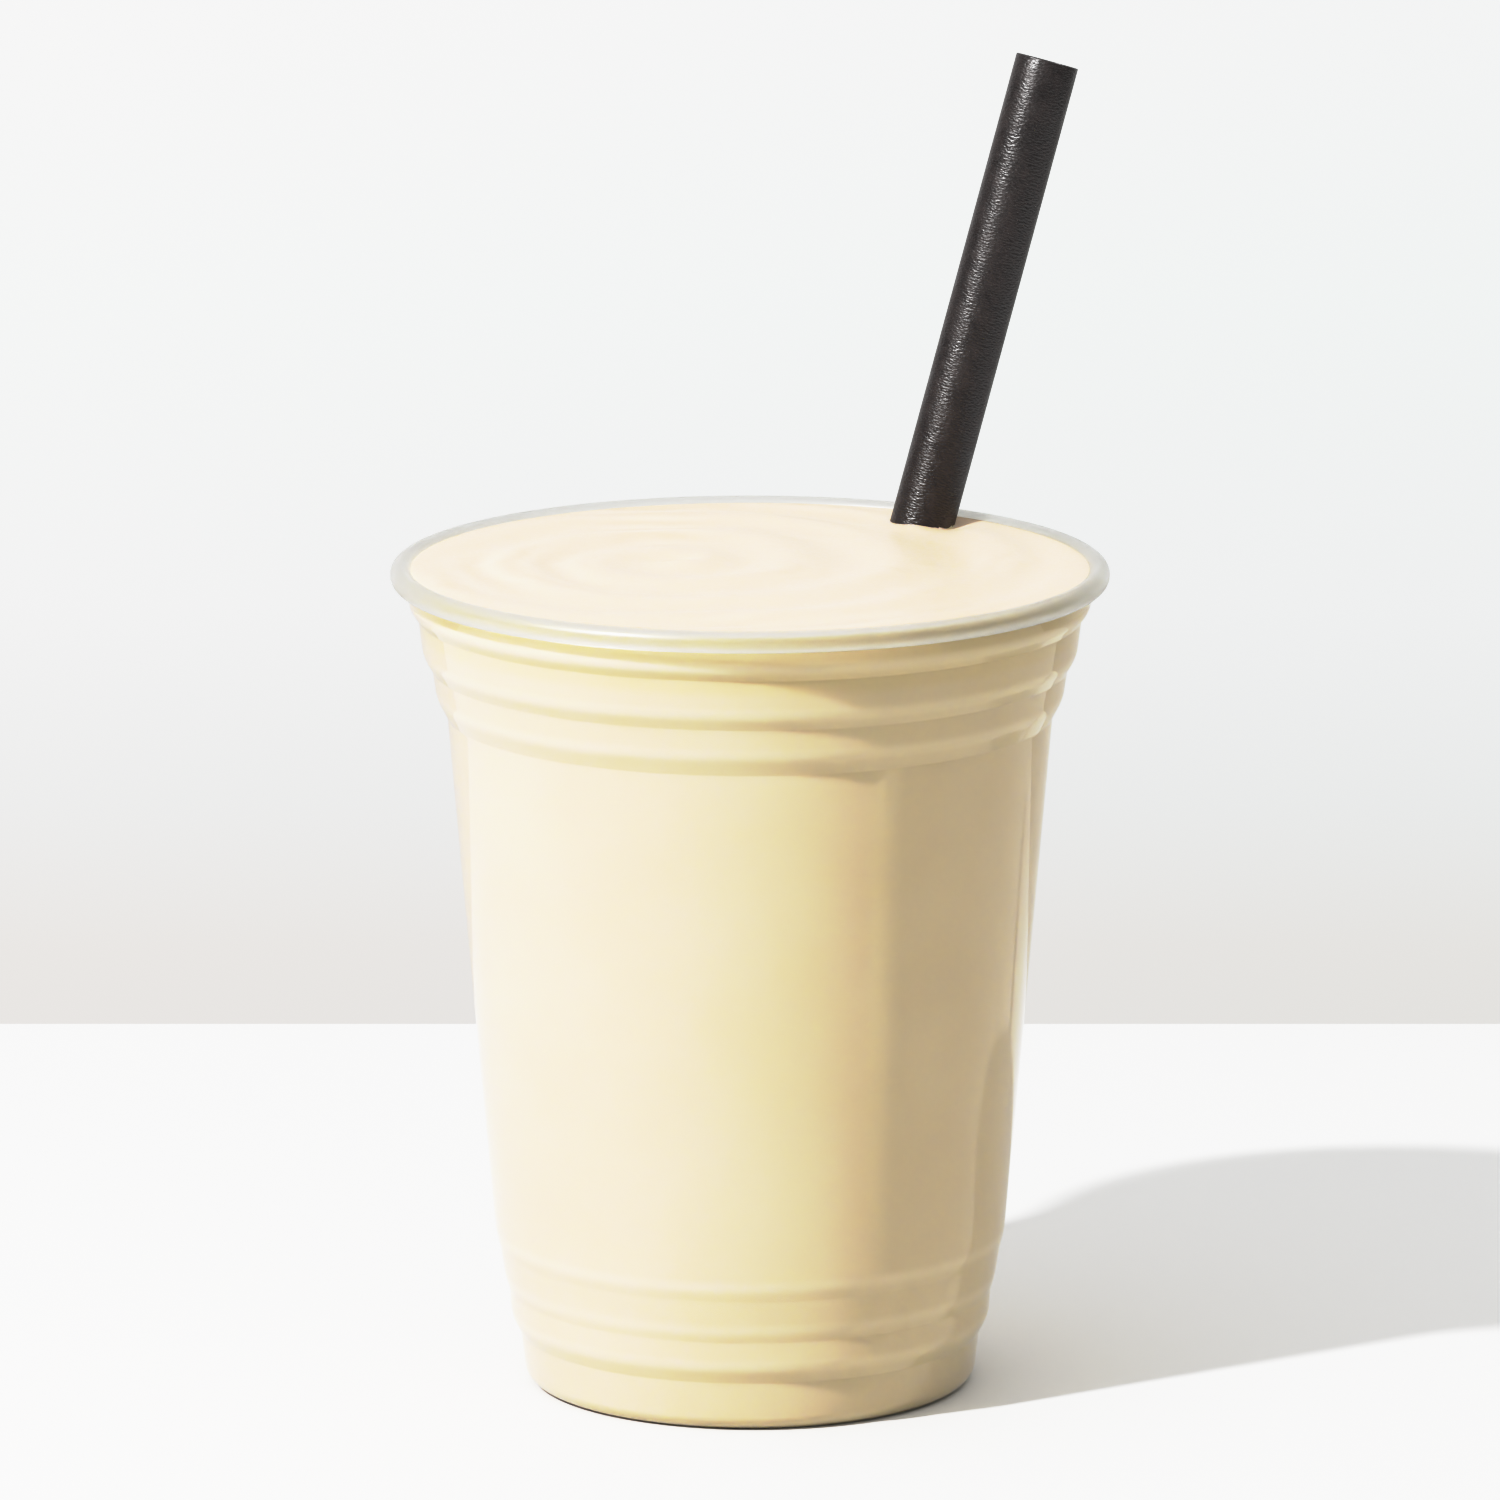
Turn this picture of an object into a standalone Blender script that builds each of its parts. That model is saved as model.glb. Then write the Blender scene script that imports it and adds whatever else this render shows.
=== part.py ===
import math

import bpy
import numpy as np
from mathutils import Vector

# Lengths are in metres, and heights are above the table that the cup stands on.
SEGMENTS = 48
CLEARANCE = 0.0003

# The cup's wall. Bands run from the top down: height and outer radius at the top of the band,
# then at its foot. A ledge steps in from the foot of each band to the top of the next.
CUP_WALL = 0.0005
CUP_HEIGHT = 0.1142
CUP_BANDS = [
    ((0.1115, 0.04650), (0.1090, 0.04670)),
    ((0.1072, 0.04540), (0.1024, 0.04487)),
    ((0.1002, 0.04350), (0.0966, 0.04300)),
    ((0.0936, 0.04134), (0.0210, 0.03500)),
    ((0.0191, 0.03443), (0.0147, 0.03372)),
    ((0.0130, 0.03315), (0.0094, 0.03287)),
    ((0.0070, 0.03158), (0.0025, 0.03105)),
]
LEDGE_SOFTENING = 0.0005

# The foot: a flat ring that the cup stands on, with the floor raised inside it.
FOOT_CORNER_RADIUS = 0.0025
FOOT_RING_INNER_RADIUS = 0.0272
FLOOR_EDGE_RADIUS = 0.0260
FLOOR_UNDERSIDE_HEIGHT = 0.0020

# The rolled lip, measured on the middle of the wall: up from the neck, out and round to its edge.
LIP_RADIUS = 0.00125
LIP_END_ANGLE = -80

# The drink, filled nearly to the crest of the lip, with a shallow swirl on it.
DRINK_LEVEL = 0.11345
DRINK_RINGS = 12
SWIRL_CENTRE = Vector((-0.0095, 0.0047))
SWIRL_PITCH = 0.0130
SWIRL_DEPTH = 0.0003
SWIRL_FADE_WIDTH = 0.006
MOUND_HEIGHT = 0.0005
MOUND_WIDTH = 0.006

# The straw: where its axis passes the drink's surface, and how far it leans for each metre up.
STRAW_RADIUS = 0.0044
STRAW_WALL = 0.00045
STRAW_SEGMENTS = 32
STRAW_AT_SURFACE = Vector((0.0239, 0.0324, DRINK_LEVEL))
STRAW_LEAN = Vector((0.2722, 0.1400, 1.0))
STRAW_TOP_HEIGHT = 0.1766
STRAW_END_HEIGHT = 0.0050


def start_again():
    for thing in list(bpy.data.objects):
        bpy.data.objects.remove(thing)


def new_collection(name):
    collection = bpy.data.collections.new(name)
    bpy.context.scene.collection.children.link(collection)
    return collection


def material(name, colour, roughness):
    made = bpy.data.materials.new(name)
    made.use_nodes = True
    shader = made.node_tree.nodes["Principled BSDF"]
    shader.inputs["Base Color"].default_value = (*colour, 1.0)
    shader.inputs["Roughness"].default_value = roughness
    shader.inputs["Metallic"].default_value = 0.0
    return made


def arc(centre, radius, start, end, steps):
    """Points from one angle to the other, in degrees, where 0 points away from the axis."""
    angles = np.radians(np.linspace(start, end, steps + 1))
    return [(centre[0] + radius * math.cos(a), centre[1] + radius * math.sin(a)) for a in angles]


def softened(path, cut):
    """The path with each inner corner cut off, so that a ledge has no sharp edge."""
    points = [Vector(p) for p in path]
    made = [points[0]]
    for before, here, after in zip(points, points[1:], points[2:]):
        made.append(here + (before - here).normalized() * cut)
        made.append(here + (after - here).normalized() * cut)
    return made + [points[-1]]


def offset(path, distance):
    """The path moved to its left by this distance, with mitred corners."""
    points = [Vector(p) for p in path]
    sides = [(b - a).normalized() for a, b in zip(points, points[1:])]
    sides = [sides[0]] + sides + [sides[-1]]
    made = []
    for point, side_in, side_out in zip(points, sides, sides[1:]):
        left_in = Vector((-side_in.y, side_in.x))
        left_out = Vector((-side_out.y, side_out.x))
        middle = (left_in + left_out).normalized()
        made.append(point + middle * (distance / middle.dot(left_in)))
    return made


def band_corners():
    """The middle of the cup's wall from the lowest band up to the neck."""
    corners = []
    for top, foot in reversed(CUP_BANDS):
        corners.append((foot[1] - CUP_WALL / 2, foot[0]))
        corners.append((top[1] - CUP_WALL / 2, top[0]))
    return corners


def foot_path():
    """The middle of the wall from the centre of the floor out and round to the lowest band."""
    half = CUP_WALL / 2
    outer_radius = CUP_BANDS[-1][1][1]
    corner_centre = (outer_radius - FOOT_CORNER_RADIUS, FOOT_CORNER_RADIUS)
    corner = arc(corner_centre, FOOT_CORNER_RADIUS - half, -90, -30, 2)
    return [
        (0.0, FLOOR_UNDERSIDE_HEIGHT + half),
        (FLOOR_EDGE_RADIUS, FLOOR_UNDERSIDE_HEIGHT + half),
        (FOOT_RING_INNER_RADIUS, half),
        *corner,
    ]


def lip_centre():
    neck_radius = CUP_BANDS[0][0][1] - CUP_WALL / 2
    return Vector((neck_radius + LIP_RADIUS, CUP_HEIGHT - CUP_WALL / 2 - LIP_RADIUS))


def lip_path():
    over = arc(lip_centre(), LIP_RADIUS, 180, 0, 6)
    under = arc(lip_centre(), LIP_RADIUS, 0, LIP_END_ANGLE, 3)
    return over + under[1:]


def turned(name, profile, segments, closed):
    """A profile of radius and height turned once about the Z axis."""
    mesh = bpy.data.meshes.new(name)
    edges = [(i, i + 1) for i in range(len(profile) - 1)]
    if closed:
        edges.append((len(profile) - 1, 0))
    mesh.from_pydata([(p[0], 0.0, p[1]) for p in profile], edges, [])
    thing = bpy.data.objects.new(name, mesh)
    screw = thing.modifiers.new("turn", "SCREW")
    screw.axis = "Z"
    screw.angle = math.tau
    screw.steps = segments
    screw.render_steps = segments
    screw.use_merge_vertices = True
    screw.merge_threshold = 0.00001
    screw.use_smooth_shade = True
    return thing


def as_mesh(thing, name, collection):
    """The thing with its modifiers made real, in a collection of its own."""
    bpy.context.scene.collection.objects.link(thing)
    graph = bpy.context.evaluated_depsgraph_get()
    mesh = bpy.data.meshes.new_from_object(thing.evaluated_get(graph))
    bpy.data.objects.remove(thing)
    made = bpy.data.objects.new(name, mesh)
    collection.objects.link(made)
    return made


def make_cup(collection):
    wall = foot_path() + softened(band_corners(), LEDGE_SOFTENING) + lip_path()
    inside = offset(wall, CUP_WALL / 2)
    outside = offset(wall, -CUP_WALL / 2)
    inside[0].x = 0.0
    outside[0].x = 0.0
    cup = turned("cup", inside + outside[::-1], SEGMENTS, closed=False)
    collection.objects.link(cup)
    cup.data.materials.append(material("clear_plastic", (0.90, 0.92, 0.92), 0.05))


def drink_edge():
    """Where the level drink meets the round top of the lip, less the clearance."""
    reach = LIP_RADIUS + CUP_WALL / 2 + CLEARANCE
    rise = DRINK_LEVEL - lip_centre().y
    return Vector((lip_centre().x - math.sqrt(reach**2 - rise**2), DRINK_LEVEL))


def surface_rise(x, y):
    """How far the drink's surface stands above or below its level at this place."""
    from_centre = Vector((x, y)) - SWIRL_CENTRE
    turn = math.atan2(from_centre.y, from_centre.x)
    swirl = math.sin(math.tau * from_centre.length / SWIRL_PITCH - turn)
    fade = min(1.0, max(0.0, (drink_edge().x - math.hypot(x, y)) / SWIRL_FADE_WIDTH))
    from_straw = Vector((x, y)) - STRAW_AT_SURFACE.xy
    mound = math.exp(-((from_straw.length / MOUND_WIDTH) ** 2))
    return fade * (SWIRL_DEPTH * swirl + MOUND_HEIGHT * mound)


def make_drink(collection, cutters):
    wall = foot_path() + band_corners() + lip_path()[:1]
    side = offset(wall, CUP_WALL / 2 + CLEARANCE)
    side[0].x = 0.0
    edge = drink_edge()
    top = [(edge.x * (1 - i / DRINK_RINGS), DRINK_LEVEL) for i in range(DRINK_RINGS + 1)]
    profile = (side + top)[::-1]
    drink = as_mesh(turned("drink", profile, SEGMENTS, closed=False), "milkshake", collection)
    for vertex in drink.data.vertices:
        if vertex.co.z > DRINK_LEVEL - CLEARANCE / 2:
            vertex.co.z += surface_rise(vertex.co.x, vertex.co.y)
    room = make_tube("straw_room", CLEARANCE, DRINK_LEVEL + 0.01)
    cutters.objects.link(room)
    room.hide_render = True
    room.display_type = "WIRE"
    cut = drink.modifiers.new("straw_room", "BOOLEAN")
    cut.operation = "DIFFERENCE"
    cut.solver = "EXACT"
    cut.object = room
    drink.data.materials.append(material("milkshake", (0.88, 0.80, 0.62), 0.45))


def make_tube(name, extra, top_height):
    """The straw's tube, or with some extra all round, the room that it takes up in the drink."""
    slope = STRAW_LEAN.length
    low = (STRAW_END_HEIGHT - DRINK_LEVEL) * slope - extra
    high = (top_height - DRINK_LEVEL) * slope
    outer = STRAW_RADIUS + extra
    inner = STRAW_RADIUS - STRAW_WALL - extra
    profile = [(outer, high), (outer, low), (inner, low), (inner, high)]
    tube = turned(name, profile, STRAW_SEGMENTS, closed=True)
    tube.rotation_mode = "QUATERNION"
    tube.rotation_quaternion = Vector((0, 0, 1)).rotation_difference(STRAW_LEAN)
    tube.location = STRAW_AT_SURFACE
    return tube


def make_straw(collection):
    straw = make_tube("straw", 0.0, STRAW_TOP_HEIGHT)
    collection.objects.link(straw)
    straw.data.materials.append(material("black_paper", (0.030, 0.024, 0.022), 0.55))


start_again()
parts = new_collection("milkshake_in_cup")
helpers = new_collection("cutters")
make_cup(parts)
make_drink(parts, helpers)
make_straw(parts)
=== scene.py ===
import math
import bpy
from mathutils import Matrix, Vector, noise


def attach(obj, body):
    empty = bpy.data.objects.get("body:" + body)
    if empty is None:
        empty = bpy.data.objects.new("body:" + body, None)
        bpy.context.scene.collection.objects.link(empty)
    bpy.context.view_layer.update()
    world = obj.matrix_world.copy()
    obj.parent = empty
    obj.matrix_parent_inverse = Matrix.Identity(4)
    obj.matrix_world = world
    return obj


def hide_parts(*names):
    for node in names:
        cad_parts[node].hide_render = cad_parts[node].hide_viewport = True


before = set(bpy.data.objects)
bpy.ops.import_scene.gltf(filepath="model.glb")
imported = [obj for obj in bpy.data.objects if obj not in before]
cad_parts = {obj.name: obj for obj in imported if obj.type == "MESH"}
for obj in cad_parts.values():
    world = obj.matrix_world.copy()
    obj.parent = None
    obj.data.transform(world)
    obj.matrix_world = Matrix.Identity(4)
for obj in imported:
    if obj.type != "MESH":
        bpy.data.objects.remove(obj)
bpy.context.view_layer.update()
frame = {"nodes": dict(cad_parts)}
print("frame loaded:", ", ".join(frame["nodes"]))


# Shader helpers: a Wire is a socket that can stand in a sum, and a Finish builds a node tree.
class Wire:
    def __init__(self, finish, socket):
        self.finish = finish
        self.socket = socket

    def other(self, name):  # another output of the same node
        return Wire(self.finish, self.socket.node.outputs[name])

    def maths(self, operation, first, second):
        return self.finish.add("ShaderNodeMath", {"operation": operation}, {0: first, 1: second})

    def __add__(self, value):
        return self.maths("ADD", self, value)

    def __radd__(self, value):
        return self.maths("ADD", value, self)

    def __sub__(self, value):
        return self.maths("SUBTRACT", self, value)

    def __rsub__(self, value):
        return self.maths("SUBTRACT", value, self)

    def __mul__(self, value):
        return self.maths("MULTIPLY", self, value)

    def __rmul__(self, value):
        return self.maths("MULTIPLY", value, self)


class Finish:
    def __init__(self, owner):  # a material or a world
        owner.use_nodes = True
        self.owner = owner
        self.tree = owner.node_tree
        self.tree.nodes.clear()

    def add(self, kind, settings=None, inputs=None, output=0):
        node = self.tree.nodes.new(kind)
        for name, value in (settings or {}).items():
            if name == "stops":
                self.setStops(node.color_ramp, value)
            else:
                setattr(node, name, value)
        for name, value in (inputs or {}).items():
            if isinstance(value, Wire):
                self.tree.links.new(value.socket, node.inputs[name])
            else:
                node.inputs[name].default_value = value
        return Wire(self, node.outputs[output]) if node.outputs else None

    def setStops(self, ramp, stops):
        while len(ramp.elements) < len(stops):
            ramp.elements.new(0.5)
        for element, (position, colour) in zip(ramp.elements, stops):
            element.position = position
            element.color = (*colour, 1.0)

    def mixColour(self, amount, first, second, how="MIX"):
        settings = {"data_type": "RGBA", "blend_type": how}
        return self.add("ShaderNodeMix", settings, {0: amount, 6: first, 7: second}, 2)

    def ranged(self, value, low, high, toLow=0.0, toHigh=1.0, smooth=False):
        settings = {"interpolation_type": "SMOOTHSTEP" if smooth else "LINEAR"}
        ends = {"From Min": low, "From Max": high, "To Min": toLow, "To Max": toHigh}
        return self.add("ShaderNodeMapRange", settings, {"Value": value, **ends})

    def noise(self, place, scale, detail, roughness):
        inputs = {"Vector": place, "Scale": scale, "Detail": detail, "Roughness": roughness}
        return self.add("ShaderNodeTexNoise", None, inputs)

    def bump(self, height, strength, distance):
        inputs = {"Strength": strength, "Distance": distance, "Height": height}
        return self.add("ShaderNodeBump", None, inputs)

    def here(self):  # where a point of the piece is, in metres
        return self.add("ShaderNodeTexCoord", output="Object")

    def shown(self, surface):  # joins the surface to the output, and gives back the material
        self.add("ShaderNodeOutputMaterial", None, {"Surface": surface})
        return self.owner


def newFinish(name):
    return Finish(bpy.data.materials.new(name))


def dress(piece, *materials):
    piece.data.materials.clear()
    for material in materials:
        piece.data.materials.append(material)


# Modelling helpers: rings are drawn by extruding a loop of edges up a profile, and a ring is
# its radius and its height.
sameSpot = 1e-6  # metres: points closer than this are one


def nothingSelected():
    if bpy.context.object and bpy.context.object.mode != "OBJECT":
        bpy.ops.object.mode_set(mode="OBJECT")
    bpy.ops.object.select_all(action="DESELECT")


def startRings(name, first, segments):
    nothingSelected()
    bpy.ops.mesh.primitive_circle_add(vertices=segments, radius=first[0], location=(0, 0, 0))
    piece = bpy.context.object
    piece.name = name
    piece.data.name = name
    bpy.ops.object.mode_set(mode="EDIT")
    bpy.ops.mesh.select_mode(type="EDGE")
    bpy.ops.mesh.select_all(action="SELECT")
    bpy.ops.transform.translate(value=(0, 0, first[1]))
    return piece


def extrudeRings(here, path):  # from the selected ring, here, through each ring of the path
    for radius, height in path:
        scale = radius / here[0]
        bpy.ops.mesh.extrude_edges_move(TRANSFORM_OT_translate={"value": (0, 0, height - here[1])})
        bpy.ops.transform.resize(value=(scale, scale, 1), center_override=(0, 0, 0))
        here = (radius, height)
    return here


def selectEdges(piece, wanted):  # wanted takes the two ends of an edge
    bpy.ops.mesh.select_all(action="DESELECT")
    bpy.ops.object.mode_set(mode="OBJECT")
    points = piece.data.vertices
    for edge in piece.data.edges:
        first, second = (points[i].co for i in edge.vertices)
        edge.select = wanted(first, second)
    bpy.ops.object.mode_set(mode="EDIT")


def selectFaces(piece, wanted):  # wanted takes a face
    bpy.ops.mesh.select_mode(type="FACE")
    bpy.ops.mesh.select_all(action="DESELECT")
    bpy.ops.object.mode_set(mode="OBJECT")
    for face in piece.data.polygons:
        face.select = wanted(face)
    bpy.ops.object.mode_set(mode="EDIT")


def onRing(ring, *points):
    radius, height = ring
    return all(abs(math.hypot(point.x, point.y) - radius) < sameSpot
               and abs(point.z - height) < sameSpot for point in points)


def apply(piece, kind, **settings):
    modifier = piece.modifiers.new(kind.lower(), kind)
    for name, value in settings.items():
        setattr(modifier, name, value)
    bpy.ops.object.modifier_apply(modifier=modifier.name)


def finishShape(piece, angle):
    bpy.ops.mesh.select_all(action="SELECT")
    bpy.ops.mesh.remove_doubles(threshold=sameSpot)
    bpy.ops.mesh.normals_make_consistent(inside=False)
    bpy.ops.object.mode_set(mode="OBJECT")
    bpy.ops.object.shade_smooth_by_angle(angle=math.radians(angle))


def arc(centre, radius, start, end, steps):
    angles = [math.radians(start + (end - start) * i / steps) for i in range(steps + 1)]
    return [(centre[0] + radius * math.cos(a), centre[1] + radius * math.sin(a)) for a in angles]


# The camera comes first: it stands where the photograph was taken from.
camera = {
    "place": (0.0, -1.8104, 0.4735),
    "lookDown": 12.02,  # degrees
    "lens": 325.38,
    "sensor": 36.0,
    "seesTo": 50.0,
}


def makeCamera():
    data = bpy.data.cameras.new("camera")
    data.sensor_fit = "HORIZONTAL"
    data.sensor_width = camera["sensor"]
    data.lens = camera["lens"]
    data.clip_end = camera["seesTo"]
    thing = bpy.data.objects.new("camera", data)
    thing.location = camera["place"]
    thing.rotation_euler = (math.radians(90 - camera["lookDown"]), 0, 0)
    bpy.context.scene.collection.objects.link(thing)
    bpy.context.scene.camera = thing


makeCamera()
print("camera placed")


# The cup's wall: a path up its middle, shared by the cup and by the drink that fills it.
# Lengths are in metres. A turn is the degrees that an arc starts and ends at, and its steps.
wall = {
    "segments": 192,
    "thickness": 0.0005,
    "floorEdge": (0.0260, 0.00225),
    "floorRings": (0.5, 0.02),  # rings inside the floor's edge, as shares of its radius
    "footRing": (0.0272, 0.000252),
    "footCorner": 0.0025,
    "footTurn": (-90, -8, 7),
    # bands from the foot up: outer radius and height at the foot of each, then at its top
    "bands": [
        ((0.03105, 0.0025), (0.03158, 0.0070)),
        ((0.03287, 0.0094), (0.03315, 0.0130)),
        ((0.03372, 0.0147), (0.03443, 0.0191)),
        ((0.03500, 0.0210), (0.04134, 0.0933)),
        ((0.04282, 0.0961), (0.04338, 0.0999)),
        ((0.04465, 0.1020), (0.04530, 0.1070)),
        ((0.04660, 0.1087), (0.04650, 0.1115)),
    ],
    # the outer corner of a ledge is rounder than the inner one: reach and steps
    "noseRound": (0.0009, 5),
    "nookRound": (0.00015, 2),
}


def footPath():
    outer = wall["bands"][0][0][0]
    radius = wall["footCorner"] - wall["thickness"] / 2
    centre = (outer - wall["footCorner"], wall["footRing"][1] + radius)
    return [wall["footRing"]] + arc(centre, radius, *wall["footTurn"])


def bandPath():
    half = wall["thickness"] / 2
    return [(radius - half, height) for band in wall["bands"] for radius, height in band]


def makeWall(name):
    piece = startRings(name, wall["floorEdge"], wall["segments"])
    top = extrudeRings(wall["floorEdge"], footPath() + bandPath()[1:])
    return piece, top


def closeFloor(piece):  # draws the floor's edge in to its centre
    edge = wall["floorEdge"]
    selectEdges(piece, lambda a, b: onRing(edge, a, b))
    extrudeRings(edge, [(edge[0] * share, edge[1]) for share in wall["floorRings"]])
    bpy.ops.mesh.merge(type="CENTER")


def roundLedges(piece):
    corners = bandPath()[1:-1]
    noses, nooks = corners[1::2], corners[0::2]
    for rings, (reach, steps) in ((noses, wall["noseRound"]), (nooks, wall["nookRound"])):
        selectEdges(piece, lambda a, b: any(onRing(ring, a, b) for ring in rings))
        bpy.ops.mesh.bevel(offset=reach, segments=steps, profile=0.5, affect="EDGES", clamp_overlap=True)


# The cup: the wall, its rolled lip and its thickness, in clear plastic of two finishes,
# whose values start with wall and lip. Here and below, a noise is its scale, detail and
# roughness, and a value that ends in From is the span of it that counts.
clearCup = {
    "height": 0.1142,
    "lipRadius": 0.00125,  # on the middle of the wall
    "lipOver": (180, 0, 16),  # two turns: up and over to the outside, then under
    "lipUnder": (0, -80, 7),
    "smoothAngle": 40,
    "lipStart": 0.1113,  # above this the plastic is seen by itself, and looks greyer
    "wallTint": (0.985, 0.992, 0.988, 1.0),
    "wallLetsIn": (0.475, 0.372, 0.53, 1.0),  # the share of the lamp's light that passes a surface
    "wallRoughness": (0.015, 0.05),
    "wallClear": 1.0,
    "lipTint": (0.90, 0.90, 0.88, 1.0),
    "lipLetsIn": (0.58, 0.58, 0.57, 1.0),
    "lipRoughness": (0.31, 0.37),
    "lipClear": 0.94,  # the rolled lip is hazier than the wall
    "ior": 1.49,
    "haze": (160.0, 3.0, 0.6),
    "hazeFrom": (0.35, 0.7),
    "waves": (90.0, 1.0, 0.5),
    "waveBump": (0.06, 0.0002),  # strength and height
}


def lipCentre():
    half = wall["thickness"] / 2
    neck = wall["bands"][-1][1][0] - half
    return (neck + clearCup["lipRadius"], clearCup["height"] - half - clearCup["lipRadius"])


def makeCup():
    piece, top = makeWall("clearCup")
    over = arc(lipCentre(), clearCup["lipRadius"], *clearCup["lipOver"])
    under = arc(lipCentre(), clearCup["lipRadius"], *clearCup["lipUnder"])
    extrudeRings(top, over + under[1:])
    closeFloor(piece)
    roundLedges(piece)
    finishShape(piece, clearCup["smoothAngle"])
    apply(piece, "SOLIDIFY", thickness=wall["thickness"], offset=0.0, use_even_offset=True)
    bpy.ops.object.shade_smooth_by_angle(angle=math.radians(clearCup["smoothAngle"]))
    dress(piece, clearPlastic("wall"), clearPlastic("lip"))
    for face in piece.data.polygons:
        face.material_index = 1 if face.center.z > clearCup["lipStart"] else 0
    return piece


def clearPlastic(part):
    made = newFinish(part + "Plastic")
    place = made.here()
    haze = made.noise(place, *clearCup["haze"])  # the faint haze of moulded plastic
    plastic = made.add("ShaderNodeBsdfPrincipled", None, {
        "Base Color": clearCup[part + "Tint"],
        "Roughness": made.ranged(haze, *clearCup["hazeFrom"], *clearCup[part + "Roughness"]),
        "IOR": clearCup["ior"],
        "Transmission Weight": clearCup[part + "Clear"],
        "Normal": made.bump(made.noise(place, *clearCup["waves"]), *clearCup["waveBump"]),
    })
    lightThrough = made.add("ShaderNodeBsdfTransparent", None, {"Color": clearCup[part + "LetsIn"]})
    shadowRay = made.add("ShaderNodeLightPath", output="Is Shadow Ray")
    return made.shown(made.add("ShaderNodeMixShader", None, {0: shadowRay, 1: plastic, 2: lightThrough}))


cup = makeCup()
print("cup made")


# The milkshake: the inside of the cup, pressed just into the wall, with a swirled top.
shake = {
    "bite": 0.00008,  # how far it reaches into the wall, so that no air gap shows
    "level": 0.11345,
    "shoulderTurn": (180, 120, 5),  # up inside the lip to past the level, where it is cut off
    "topSkin": 0.0001,  # faces above the level less this are the top
    "topRings": 58,
    "fineReach": 0.004,  # round the straw the top's faces are cut finer
    "fineCuts": 4,
    "smoothAngle": 50,
    "levelSlack": 0.00002,  # points above the level less this are moved by the swirl
    "swirlCentre": Vector((-0.0095, 0.0047)),
    "swirlPitch": 0.0130,
    "swirlDepth": 0.00028,
    "swirlStray": (1.4, 55.0, 0.3),  # how far it strays, and the scale and layer of that noise
    "lumps": (0.35, 140.0),  # their share of the swirl's depth, and the scale of their noise
    "lumpKind": (1.0, 2.0, 3),  # fall of each finer layer, step in its scale, and layers
    "edgeFade": 0.006,
    "strawDip": 0.0008,  # how far the drink sinks on the right of the straw
    "leftRise": 0.25,  # the share of that by which it rises on the left
    "strawMound": 0.0003,  # how far it rises in front
    "moundPower": 3,
    "dipWidth": 0.0036,
    "surfaceBelow": 0.0008,  # the top's finish goes down to the level less this
    "surfaceTilt": 0.5,  # where a face looks at least this much up
    "cream": (0.87, 0.775, 0.545, 1.0),
    "pale": (0.90, 0.81, 0.59, 1.0),
    "deep": (0.84, 0.735, 0.50, 1.0),
    # painted light: the top's colours are pinker and deeper than the side's cream, to stand for how the
    # lamp-lit top shows; between them run the swirl's streaks
    "paintedLitTopPale": (0.83, 0.66, 0.495, 1.0),
    "paintedLitTopDeep": (0.76, 0.575, 0.41, 1.0),
    "paintedLipLight": (0.865, 0.76, 0.495, 1.0),  # painted light: the drink's side is painted yellower from just under the lip up, for the light that comes through the lip
    "paintedLipLightFrom": (0.1042, 0.1058),  # heights where the painted lip light starts and where it is full
    "paintedNoseHighlight": (0.925, 0.83, 0.61, 1.0),  # painted highlight: a paler line painted on the drink at the outer corner of each ledge, for the light the plastic gathers there
    "noseHighlightReach": 0.0014,
    "cloud": (45.0, 3.0, 0.55),
    "cloudFrom": (0.35, 0.65),
    "cloudShare": 0.35,
    "grain": (900.0, 2.0, 0.5),
    "grainFrom": (0.3, 0.7),
    "grainBump": (0.05, 0.0001),
    "sideRoughness": (0.55, 0.7),
    "sideGloss": 0.1,
    "streakPitch": 0.0055,
    "streakStray": (60.0, 2.0, 0.5),
    "streakStrayBy": 11.0,  # radians
    "patches": (38.0, 2.0, 0.5),
    "patchesFrom": (0.45, 0.7),
    "bubbles": (1500.0, 2.0, 0.6),
    "bubblesFrom": (0.3, 0.7),
    "reliefShares": (0.6, 0.25),  # of the streaks and the bubbles
    "reliefBump": (0.35, 0.0002),
    "topRoughness": (0.32, 0.48),
    "topGloss": 0.25,
    "ior": 1.35,
    "scatterShare": 0.6,
    "scatter": (0.0013, 0.0012, 0.0006),  # how far red, green and blue travel inside
}


def drinkEdge():
    centre = lipCentre()
    reach = clearCup["lipRadius"] + wall["thickness"] / 2 - shake["bite"]
    rise = shake["level"] - centre[1]
    return (centre[0] - math.sqrt(reach**2 - rise**2), shake["level"])


def isTop(face):
    return face.center.z > shake["level"] - shake["topSkin"]


def surfaceRise(x, y):
    fromCentre = Vector((x, y)) - shake["swirlCentre"]
    turn = math.atan2(fromCentre.y, fromCentre.x)
    stray, scale, layer = shake["swirlStray"]
    wander = stray * noise.noise(Vector((x, y, layer)) * scale)
    swirl = math.sin(math.tau * fromCentre.length / shake["swirlPitch"] - turn + wander)
    share, scale = shake["lumps"]
    lumps = share * noise.fractal(Vector((x, y, 0.0)) * scale, *shake["lumpKind"])
    edge = (drinkEdge()[0] - math.hypot(x, y)) / shake["edgeFade"]
    fade = min(1.0, max(0.0, edge))
    fromStraw = Vector((x, y)) - Vector(straw["atSurface"][:2])
    away = max(0.0, fromStraw.length - straw["radius"])
    near = math.exp(-((away / shake["dipWidth"]) ** 2))
    beside = 0.0
    if away > 0:
        right = max(-shake["leftRise"], fromStraw.x / fromStraw.length)
        front = max(0.0, -fromStraw.y / fromStraw.length) ** shake["moundPower"]
        beside = shake["strawMound"] * front - shake["strawDip"] * right
    return fade * (shake["swirlDepth"] * (swirl + lumps) * (1 - near) + near * beside)


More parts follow.
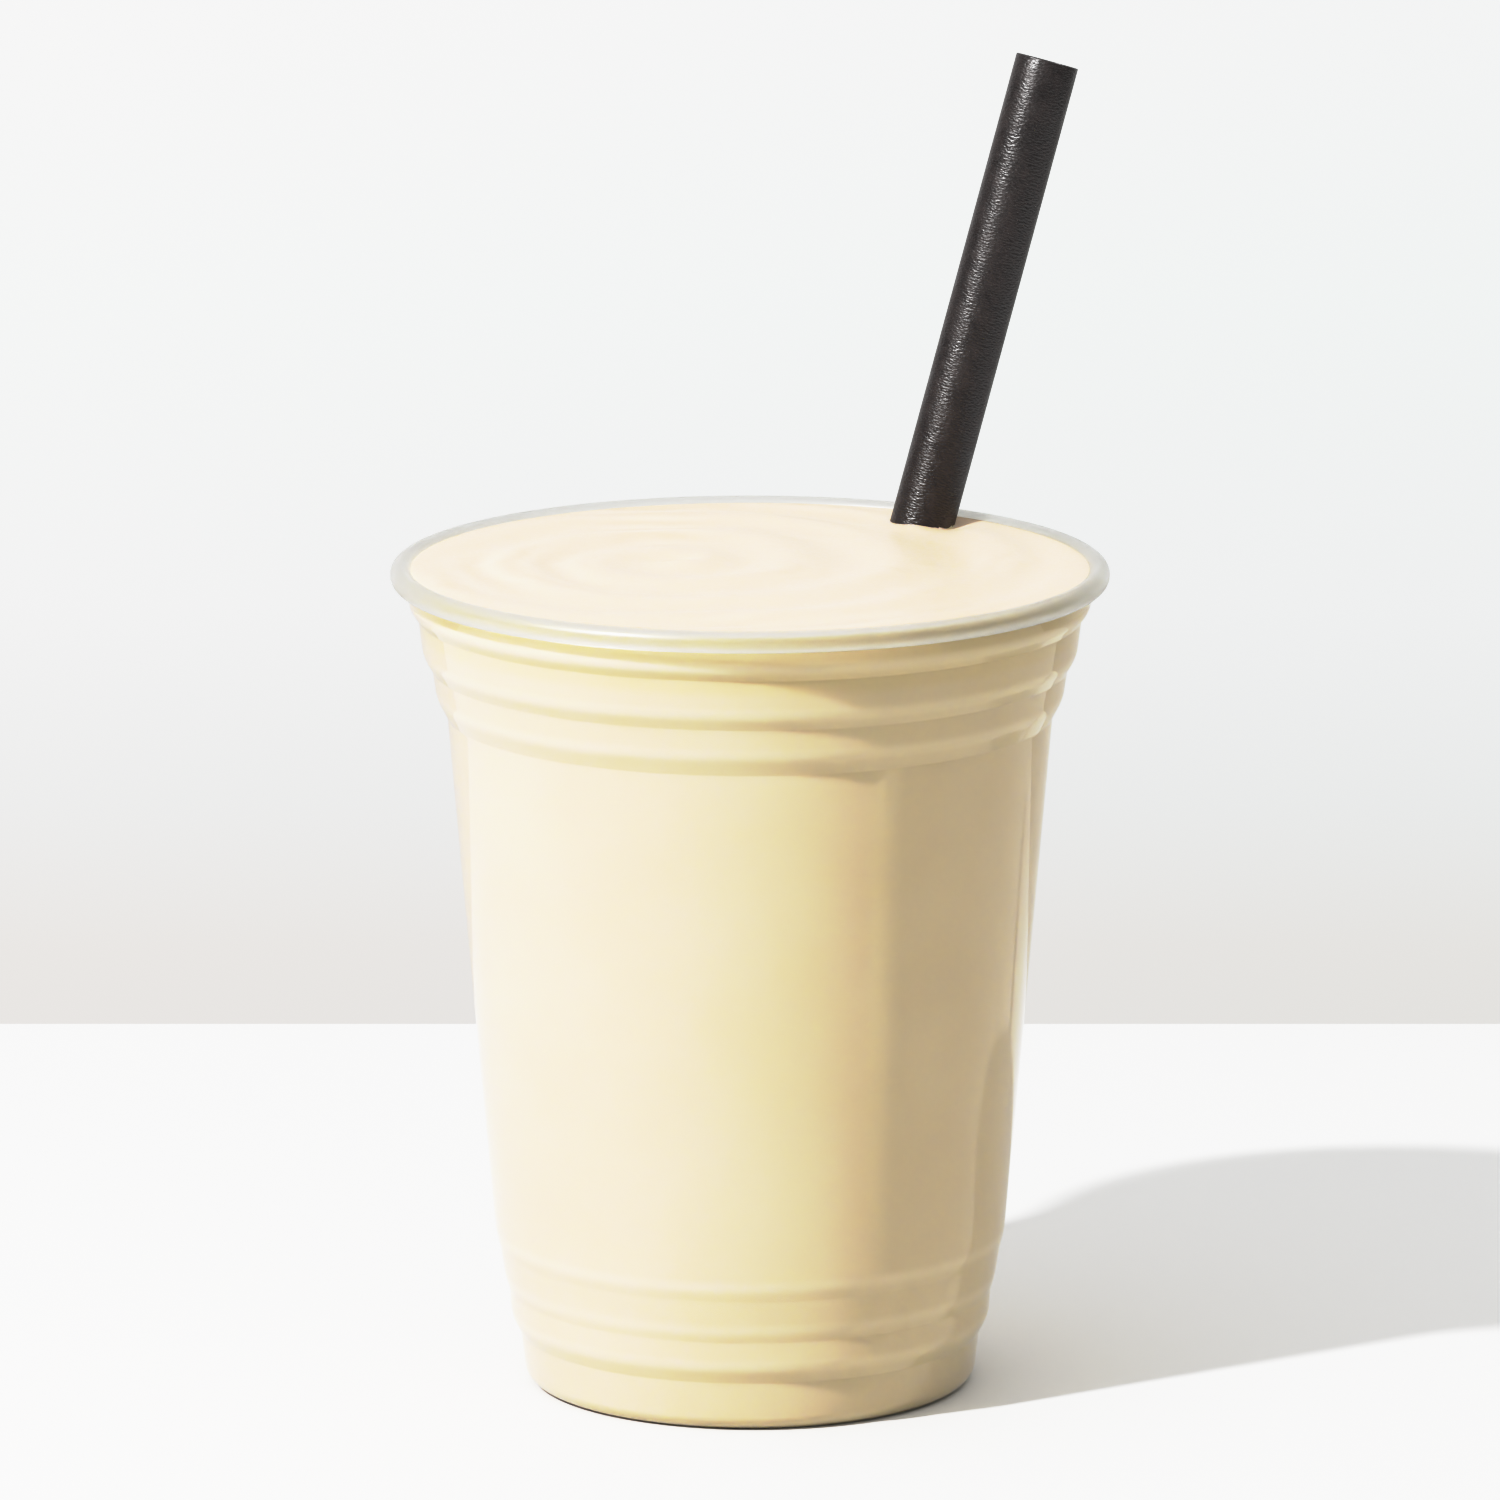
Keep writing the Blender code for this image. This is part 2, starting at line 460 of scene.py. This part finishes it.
def makeShake():
    piece, top = makeWall("milkshake")
    extrudeRings(top, arc(lipCentre(), clearCup["lipRadius"], *shake["shoulderTurn"]))
    closeFloor(piece)
    roundLedges(piece)
    bpy.ops.mesh.select_all(action="SELECT")
    bpy.ops.mesh.normals_make_consistent(inside=False)
    bpy.ops.transform.shrink_fatten(value=shake["bite"] - wall["thickness"] / 2, use_even_offset=True)
    selectFaces(piece, isTop)
    bpy.ops.mesh.delete(type="FACE")
    bpy.ops.mesh.select_mode(type="EDGE")
    bpy.ops.mesh.select_all(action="DESELECT")
    bpy.ops.mesh.select_non_manifold()
    bpy.ops.object.mode_set(mode="OBJECT")
    rim = next(piece.data.vertices[edge.vertices[0]].co for edge in piece.data.edges if edge.select)
    cutRing = (math.hypot(rim.x, rim.y), rim.z)
    bpy.ops.object.mode_set(mode="EDIT")
    radius, height = drinkEdge()
    rings = shake["topRings"]
    extrudeRings(cutRing, [(radius * (1 - i / rings), height) for i in range(rings)])
    bpy.ops.mesh.merge(type="CENTER")
    foot = Vector(straw["atSurface"])
    fine = straw["radius"] + shake["fineReach"]
    selectFaces(piece, lambda face: isTop(face) and (face.center - foot).length < fine)
    bpy.ops.mesh.subdivide(number_cuts=shake["fineCuts"])
    finishShape(piece, shake["smoothAngle"])
    for point in piece.data.vertices:
        if point.co.z > shake["level"] - shake["levelSlack"]:
            point.co.z += surfaceRise(point.co.x, point.co.y)
    dress(piece, creamInCup(), creamSurface())
    lowest = shake["level"] - shake["surfaceBelow"]
    for face in piece.data.polygons:
        face.material_index = 1 if face.center.z > lowest and face.normal.z > shake["surfaceTilt"] else 0
    return piece


# The drink's side colour: random clouds, with painted light from the lip and painted highlights at the
# ledges.
def creamColour(made, place):
    cloud = made.ranged(made.noise(place, *shake["cloud"]), *shake["cloudFrom"])
    colour = made.mixColour(cloud, shake["deep"], shake["pale"])
    colour = made.mixColour(shake["cloudShare"], shake["cream"], colour)
    height = made.add("ShaderNodeSeparateXYZ", None, {0: place}, "Z")
    # painted light: yellower from just under the lip up, for the light that comes through the lip
    under = made.ranged(height, *shake["paintedLipLightFrom"], smooth=True)
    colour = made.mixColour(under, colour, shake["paintedLipLight"])
    # painted highlight: a paler line at the outer corner of each ledge
    noseHighlights = 0.0
    for band in wall["bands"][1:]:
        nose = band[0][1]
        away = made.add("ShaderNodeMath", {"operation": "ABSOLUTE"}, {0: height - nose})
        noseHighlights += made.ranged(away, 0.0, shake["noseHighlightReach"], 1.0, 0.0, smooth=True)
    return made.mixColour(noseHighlights, colour, shake["paintedNoseHighlight"])


def creamShader(made, colour, rough, gloss, bump):
    return made.shown(made.add("ShaderNodeBsdfPrincipled", None, {
        "Base Color": colour,
        "Roughness": rough,
        "IOR": shake["ior"],
        "Specular IOR Level": gloss,
        "Subsurface Weight": shake["scatterShare"],
        "Subsurface Radius": shake["scatter"],
        "Subsurface Scale": 1.0,
        "Normal": bump,
    }))


def creamInCup():
    made = newFinish("creamInCup")
    place = made.here()
    grain = made.noise(place, *shake["grain"])
    rough = made.ranged(grain, *shake["grainFrom"], *shake["sideRoughness"])
    bump = made.bump(grain, *shake["grainBump"])
    return creamShader(made, creamColour(made, place), rough, shake["sideGloss"], bump)


def creamSurface():  # streaks that turn with the swirl, broken into patches, and fine bubbles
    made = newFinish("creamSurface")
    place = made.here()
    parts = made.add("ShaderNodeSeparateXYZ", None, {0: place})
    x = parts.other("X") - shake["swirlCentre"].x
    y = parts.other("Y") - shake["swirlCentre"].y
    away = made.add("ShaderNodeMath", {"operation": "SQRT"}, {0: x * x + y * y})
    turn = made.add("ShaderNodeMath", {"operation": "ARCTAN2"}, {0: y, 1: x})
    stray = made.noise(place, *shake["streakStray"]) * shake["streakStrayBy"]
    wave = away * (math.tau / shake["streakPitch"]) - turn + stray
    streak = made.add("ShaderNodeMath", {"operation": "SINE"}, {0: wave})
    patch = made.ranged(made.noise(place, *shake["patches"]), *shake["patchesFrom"], smooth=True)
    streaks = made.ranged(streak * patch, -1.0, 1.0)
    # the streak colours carry the painted light of the lamp-lit top
    colour = made.mixColour(streaks, shake["paintedLitTopDeep"], shake["paintedLitTopPale"])
    bubbles = made.noise(place, *shake["bubbles"])
    streakShare, bubbleShare = shake["reliefShares"]
    bump = made.bump(streaks * streakShare + bubbles * bubbleShare, *shake["reliefBump"])
    rough = made.ranged(bubbles, *shake["bubblesFrom"], *shake["topRoughness"])
    return creamShader(made, colour, rough, shake["topGloss"], bump)


# The straw: a thick black paper tube that leans in the drink.
straw = {
    "radius": 0.0044,
    "wall": 0.00045,
    "segments": 96,
    "lengths": 24,
    "atSurface": (0.0239, 0.0324, shake["level"]),  # where its axis meets the drink
    "lean": Vector((0.2722, 0.1400, 1.0)),  # how far it goes for each metre up
    "topHeight": 0.1766,  # of its axis, at its two ends
    "endHeight": 0.0050,
    "edgeRound": 0.00012,
    "edgeSteps": 2,
    "edgeAngle": 50,  # edges sharper than this are rounded
    "smoothAngle": 40,
    "black": (0.009, 0.004, 0.004, 1.0),
    "worn": (0.026, 0.015, 0.014, 1.0),
    "fibre": (1400.0, 3.0, 0.65),
    "patches": (380.0, 2.0, 0.6),
    "wearShares": (0.6, 0.4),  # of the fibre and the patches
    "wearFrom": (0.42, 0.66),
    "ridges": (3800.0, 1.0, 0.5),
    "ridgeDraw": (0.4, 1.0, 1.0),  # below 1 they are drawn out round the straw
    "reliefShares": (0.12, 0.2),  # of the fibre and the patches, beside the ridges
    "reliefBump": (1.0, 0.00012),
    "patchesFrom": (0.35, 0.65),
    "roughness": (0.35, 0.46),
    "ior": 1.5,
    "gloss": 1.0,
}


def makeStraw():
    slope = straw["lean"].length
    low = (straw["endHeight"] - straw["atSurface"][2]) * slope
    high = (straw["topHeight"] - straw["atSurface"][2]) * slope
    middle = straw["radius"] - straw["wall"] / 2
    piece = startRings("straw", (middle, low), straw["segments"])
    lengths = straw["lengths"]
    heights = [low + (high - low) * i / lengths for i in range(1, lengths + 1)]
    extrudeRings((middle, low), [(middle, height) for height in heights])
    finishShape(piece, straw["smoothAngle"])
    apply(piece, "SOLIDIFY", thickness=straw["wall"], offset=0.0, use_even_offset=True)
    apply(piece, "BEVEL", width=straw["edgeRound"], segments=straw["edgeSteps"], limit_method="ANGLE",
          angle_limit=math.radians(straw["edgeAngle"]))
    layStrawMap(piece)
    piece.rotation_mode = "QUATERNION"
    piece.rotation_quaternion = Vector((0, 0, 1)).rotation_difference(straw["lean"])
    piece.location = straw["atSurface"]
    bpy.ops.object.transform_apply(location=True, rotation=True, scale=True)
    bpy.ops.object.shade_smooth_by_angle(angle=math.radians(straw["smoothAngle"]))
    dress(piece, blackPaper())
    return piece


def layStrawMap(piece):  # round the straw by along it, in metres
    layer = piece.data.uv_layers.new(name="strawMap")
    for face in piece.data.polygons:
        first = None
        for loop in face.loop_indices:
            point = piece.data.vertices[piece.data.loops[loop].vertex_index].co
            turn = math.atan2(point.y, point.x)
            if first is None:
                first = turn
            if turn - first > math.pi:
                turn -= math.tau
            if first - turn > math.pi:
                turn += math.tau
            layer.data[loop].uv = (turn * straw["radius"], point.z)


def blackPaper():
    made = newFinish("blackPaper")
    place = made.here()
    fibre = made.noise(place, *straw["fibre"])
    patches = made.noise(place, *straw["patches"])
    fibreShare, patchShare = straw["wearShares"]
    wear = made.ranged(fibre * fibreShare + patches * patchShare, *straw["wearFrom"])
    laid = made.add("ShaderNodeUVMap", {"uv_map": "strawMap"})
    drawn = made.add("ShaderNodeVectorMath", {"operation": "MULTIPLY"}, {0: laid, 1: straw["ridgeDraw"]})
    ridges = made.noise(drawn, *straw["ridges"])  # fine ridges round the straw draw out its shine
    fibreShare, patchShare = straw["reliefShares"]
    relief = ridges + fibre * fibreShare + patches * patchShare
    return made.shown(made.add("ShaderNodeBsdfPrincipled", None, {
        "Base Color": made.mixColour(wear, straw["black"], straw["worn"]),
        "Roughness": made.ranged(patches, *straw["patchesFrom"], *straw["roughness"]),
        "IOR": straw["ior"],
        "Specular IOR Level": straw["gloss"],
        "Normal": made.bump(relief, *straw["reliefBump"]),
    }))


# The drink's top needs the straw's place, so both are made here.
drink = makeShake()
print("milkshake made")
paperStraw = makeStraw()
print("straw made")


# The table: a pale slab that ends behind the cup, as in the photograph.
table = {
    "backEdge": 0.2119,
    "reach": 3.0,
    "thickness": 0.04,
    "white": (0.92, 0.92, 0.92, 1.0),
    "shade": (0.90, 0.90, 0.90, 1.0),
    "cloud": (3.0, 2.0, 0.5),
    "cloudFrom": (0.3, 0.7),
    "roughness": (0.6, 0.7),
    "gloss": 0.2,
}


def makeTable():
    nothingSelected()
    reach = table["reach"]
    bpy.ops.mesh.primitive_plane_add(size=2.0, location=(0, 0, 0))
    piece = bpy.context.object
    piece.name = "table"
    piece.scale = (reach, (reach + table["backEdge"]) / 2, 1)
    piece.location = (0, (table["backEdge"] - reach) / 2, 0)
    bpy.ops.object.transform_apply(location=True, rotation=True, scale=True)
    bpy.ops.object.mode_set(mode="EDIT")
    bpy.ops.mesh.select_all(action="SELECT")
    bpy.ops.mesh.extrude_region_move(TRANSFORM_OT_translate={"value": (0, 0, -table["thickness"])})
    bpy.ops.mesh.select_all(action="SELECT")
    bpy.ops.mesh.normals_make_consistent(inside=False)
    bpy.ops.object.mode_set(mode="OBJECT")
    made = newFinish("paleTable")
    cloud = made.noise(made.here(), *table["cloud"])
    dress(piece, made.shown(made.add("ShaderNodeBsdfPrincipled", None, {
        "Base Color": made.mixColour(cloud, table["white"], table["shade"]),
        "Roughness": made.ranged(cloud, *table["cloudFrom"], *table["roughness"]),
        "Specular IOR Level": table["gloss"],
    })))
    return piece


floor = makeTable()
print("table made")


# The light: one lamp high in front on the left, and a room that is pale above and behind the cup.
light = {
    "lampPlace": Vector((-0.841, -0.704, 1.118)),
    "lampSize": 0.055,
    "lampPower": 27.0,
    "aim": Vector((0.0, 0.0, 0.06)),
    # the room's colour goes by direction: its height, depth and side run from -1 to 1
    "backdrop": [  # from the table's edge up, in the camera's narrow view
        (0.00, (0.935, 0.895, 0.860)),
        (0.08, (0.960, 0.918, 0.880)),
        (0.22, (1.030, 1.030, 1.020)),
        (0.42, (1.160, 1.160, 1.160)),
        (0.72, (1.210, 1.245, 1.230)),
        (1.00, (1.275, 1.270, 1.265)),
    ],
    "backdropFrom": (-0.228, -0.155),  # heights at the table's edge and at the top of that view
    "backdropFades": (0.05, 0.7),  # heights: the backdrop is full below them and gone above
    "backFrom": (0.2, 0.85),  # depths: it is gone before them and full beyond
    "rightOfBackdrop": (0.92, 0.94, 0.94, 1.0),
    "rightFrom": (-0.05, 0.05),
    "side": (0.12, 0.12, 0.12, 1.0),
    "above": (1.18, 1.18, 1.17, 1.0),
}


def makeLamp():
    data = bpy.data.lights.new("lamp", "AREA")
    data.shape = "DISK"
    data.size = light["lampSize"]
    data.energy = light["lampPower"]
    thing = bpy.data.objects.new("lamp", data)
    thing.location = light["lampPlace"]
    thing.rotation_mode = "QUATERNION"
    thing.rotation_quaternion = (light["aim"] - light["lampPlace"]).to_track_quat("-Z", "Y")
    bpy.context.scene.collection.objects.link(thing)


def makeRoom():
    world = bpy.data.worlds.new("paleRoom")
    bpy.context.scene.world = world
    made = Finish(world)
    looksTo = made.add("ShaderNodeTexCoord", output="Generated")  # for a world, a direction
    parts = made.add("ShaderNodeSeparateXYZ", None, {0: looksTo})
    height = parts.other("Z")
    towardsBack = made.ranged(parts.other("Y"), *light["backFrom"], smooth=True)
    band = made.ranged(height, *light["backdropFrom"])
    backdrop = made.add("ShaderNodeValToRGB", {"stops": light["backdrop"]}, {0: band})
    across = made.ranged(parts.other("X"), *light["rightFrom"])
    backdrop = made.mixColour(across, backdrop, light["rightOfBackdrop"], "MULTIPLY")
    above = made.mixColour(made.ranged(height, 0.0, 1.0), light["side"], light["above"])
    low = made.ranged(height, *light["backdropFades"], 1.0, 0.0, smooth=True)
    colour = made.mixColour(towardsBack * low, above, backdrop)
    background = made.add("ShaderNodeBackground", None, {"Color": colour, "Strength": 1.0})
    made.add("ShaderNodeOutputWorld", None, {"Surface": background})


makeLamp()
makeRoom()
print("light made")


# The picture's tones: highlights roll off softly, as the photograph's do.
tones = {
    "white": 2.5,
    "curve": [  # the scene's brightness, and how bright it is shown
        (0.0, 0.0), (0.10, 0.045), (0.20, 0.105), (0.37, 0.238), (0.52, 0.395), (0.60, 0.50),
        (0.75, 0.69), (0.90, 0.79), (1.11, 0.875), (1.27, 0.922), (1.46, 0.947), (2.5, 0.985),
    ],
}


def setTones():
    view = bpy.context.scene.view_settings
    view.view_transform = "Standard"
    view.look = "None"
    view.use_curve_mapping = True
    mapping = view.curve_mapping
    mapping.white_level = (tones["white"],) * 3
    points = mapping.curves[3].points  # the curve that the three colours share
    while len(points) < len(tones["curve"]):
        points.new(0.5, 0.5)
    for point, (brightness, shown) in zip(points, tones["curve"]):
        point.location = (brightness / tones["white"], shown)
    mapping.update()


setTones()
print("tones set")

# Every piece rides on the root, and the solid of the frame that it stands for is hidden.
for piece, node in ((cup, "cup"), (drink, "milkshake"), (paperStraw, "straw")):
    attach(piece, "root")
    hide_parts(node)
